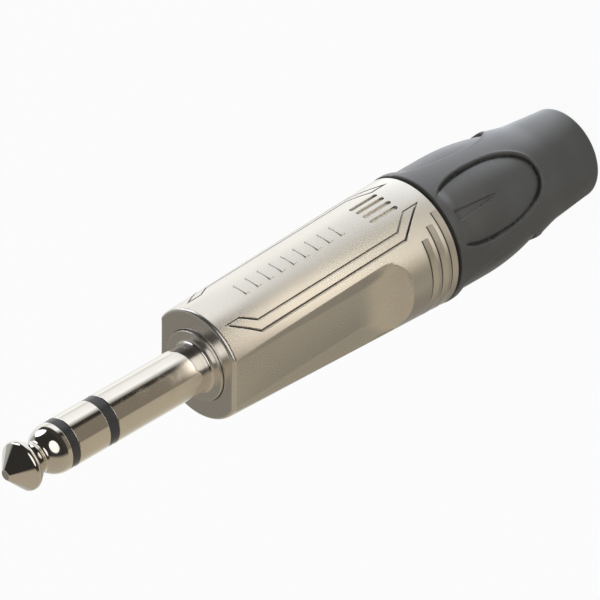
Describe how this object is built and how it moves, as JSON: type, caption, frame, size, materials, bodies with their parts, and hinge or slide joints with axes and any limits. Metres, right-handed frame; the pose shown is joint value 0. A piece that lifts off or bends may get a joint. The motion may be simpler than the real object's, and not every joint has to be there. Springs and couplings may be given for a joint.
{
  "type": "stereo jack plug",
  "caption": "Three-contact 6.35 mm jack plug with a die-cast shell, hollow side grips, a slit chuck, a gland nut and an elastic bend relief with oval pads, standing on its cable end.",
  "frame": {"origin": "centre of the bend relief's flat cable end, on the surface that the plug stands on", "axes": "+Z along the plug's axis towards the tip, +Y and -Y through the middles of the shell's two engraved panels, +X and -X through the middles of its two hollow grips"},
  "size_m": [0.0172, 0.0172, 0.0944],
  "materials": {
    "contact_nickel": "polished nickel plate on turned brass",
    "insulation": "black glass-filled plastic, satin",
    "terminal_tin": "tinned brass sheet, bright",
    "washer_board": "laminated insulating board, matt",
    "shell_nickel": "satin nickel plate on a zinc die casting",
    "chuck_plastic": "moulded off-white acetal, satin",
    "gland_plastic": "moulded black nylon, satin",
    "boot_elastomer": "dark grey moulded elastomer, satin"
  },
  "bodies": {
    "boot": {"gland_nut": "gland_plastic", "boot": "boot_elastomer"},
    "chuck": {"chuck": "chuck_plastic"},
    "plug": {"shell": "shell_nickel", "sleeve_contact": "contact_nickel", "ring_contact": "contact_nickel", "tip_contact": "contact_nickel", "tip_insulator": "insulation", "ring_insulator": "insulation", "sleeve_terminal": "terminal_tin", "ring_washer": "washer_board", "ring_terminal": "terminal_tin", "tip_washer": "washer_board", "tip_terminal": "terminal_tin"}
  },
  "joints": [
    {"name": "thread_turn", "type": "hinge", "parent": "boot", "child": "chuck", "pos_m": [0, 0, 0.03], "axis": [0, 0, 1], "range_deg": [0, 1980]},
    {"name": "thread_rise", "type": "slide", "parent": "chuck", "child": "plug", "axis": [0, 0, 1], "range_m": [0, 0.0055]}
  ],
  "couplings": [
    {"joint": "thread_turn", "follows": "thread_rise", "rad_per_m": 6283.2}
  ]
}
